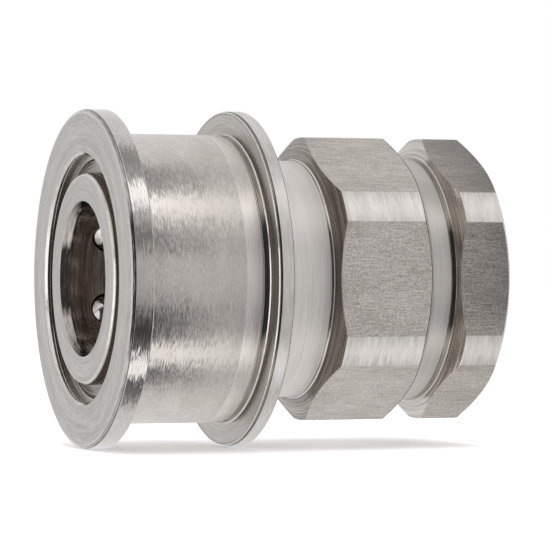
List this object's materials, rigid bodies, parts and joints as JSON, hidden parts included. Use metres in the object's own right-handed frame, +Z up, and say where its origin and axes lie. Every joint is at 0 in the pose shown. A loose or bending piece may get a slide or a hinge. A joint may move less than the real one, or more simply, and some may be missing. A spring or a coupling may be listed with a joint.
{
  "type": "quick coupling socket",
  "caption": "Stainless quick coupling socket with a flanged pull-back sleeve, locking balls, a spring-shut valve and a hexagon pipe adapter.",
  "frame": {"origin": "centre of the pipe port, in the plane of the adapter's end face", "axes": "+X along the coupling's axis and out of the pipe port, with the mouth for the plug at -X; +Z up, through a corner of each hexagon; -Y through the flat that faces the picture's camera"},
  "size_m": [0.0393, 0.0322, 0.0322],
  "materials": {
    "sleeve_steel": "turned stainless steel",
    "body_steel": "turned and milled stainless steel",
    "ball_steel": "polished hardened steel",
    "spring_steel": "drawn stainless wire",
    "ring_steel": "stamped spring steel",
    "seal_rubber": "black fluorocarbon rubber",
    "backup_plastic": "white PTFE"
  },
  "bodies": {
    "coupler": {"body": "body_steel", "adapter": "body_steel", "retaining_ring": "ring_steel", "plug_seal": "seal_rubber", "backup_ring_front": "backup_plastic", "backup_ring_rear": "backup_plastic", "adapter_seal": "seal_rubber", "valve_guide": "body_steel", "valve_spring": "spring_steel"},
    "spring_seat": {"spring_washer": "ring_steel", "sleeve_spring": "spring_steel"},
    "pull_sleeve": {"sleeve": "sleeve_steel"},
    "valve": {"poppet": "body_steel", "poppet_seal": "seal_rubber"},
    "ball_1": {"locking_ball_1": "ball_steel"},
    "ball_2": {"locking_ball_2": "ball_steel"},
    "ball_3": {"locking_ball_3": "ball_steel"},
    "ball_4": {"locking_ball_4": "ball_steel"},
    "ball_5": {"locking_ball_5": "ball_steel"},
    "ball_6": {"locking_ball_6": "ball_steel"}
  },
  "joints": [
    {"name": "sleeve_spin", "type": "hinge", "parent": "coupler", "child": "spring_seat", "pos_m": [-0.0253, 0, 0], "axis": [1, 0, 0], "continuous": true},
    {"name": "sleeve_slide", "type": "slide", "parent": "spring_seat", "child": "pull_sleeve", "axis": [1, 0, 0], "range_m": [0, 0.0036], "stiffness_N_per_m": 1500, "springref_m": -0.004, "deforming": ["sleeve_spring"]},
    {"name": "valve_slide", "type": "slide", "parent": "coupler", "child": "valve", "axis": [1, 0, 0], "range_m": [0, 0.0026], "stiffness_N_per_m": 500, "springref_m": -0.003, "deforming": ["valve_spring"]},
    {"name": "ball_1_out", "type": "slide", "parent": "coupler", "child": "ball_1", "axis": [0, -0.9063, 0.4226], "range_m": [0, 0.0009]},
    {"name": "ball_2_out", "type": "slide", "parent": "coupler", "child": "ball_2", "axis": [0, -0.0872, 0.9962], "range_m": [0, 0.0009]},
    {"name": "ball_3_out", "type": "slide", "parent": "coupler", "child": "ball_3", "axis": [0, 0.8192, 0.5736], "range_m": [0, 0.0009]},
    {"name": "ball_4_out", "type": "slide", "parent": "coupler", "child": "ball_4", "axis": [0, 0.9063, -0.4226], "range_m": [0, 0.0009]},
    {"name": "ball_5_out", "type": "slide", "parent": "coupler", "child": "ball_5", "axis": [0, 0.0872, -0.9962], "range_m": [0, 0.0009]},
    {"name": "ball_6_out", "type": "slide", "parent": "coupler", "child": "ball_6", "axis": [0, -0.8192, -0.5736], "range_m": [0, 0.0009]}
  ],
  "couplings": [
    {"joint": "ball_1_out", "follows": "sleeve_slide", "ratio": 0.25},
    {"joint": "ball_2_out", "follows": "sleeve_slide", "ratio": 0.25},
    {"joint": "ball_3_out", "follows": "sleeve_slide", "ratio": 0.25},
    {"joint": "ball_4_out", "follows": "sleeve_slide", "ratio": 0.25},
    {"joint": "ball_5_out", "follows": "sleeve_slide", "ratio": 0.25},
    {"joint": "ball_6_out", "follows": "sleeve_slide", "ratio": 0.25}
  ]
}
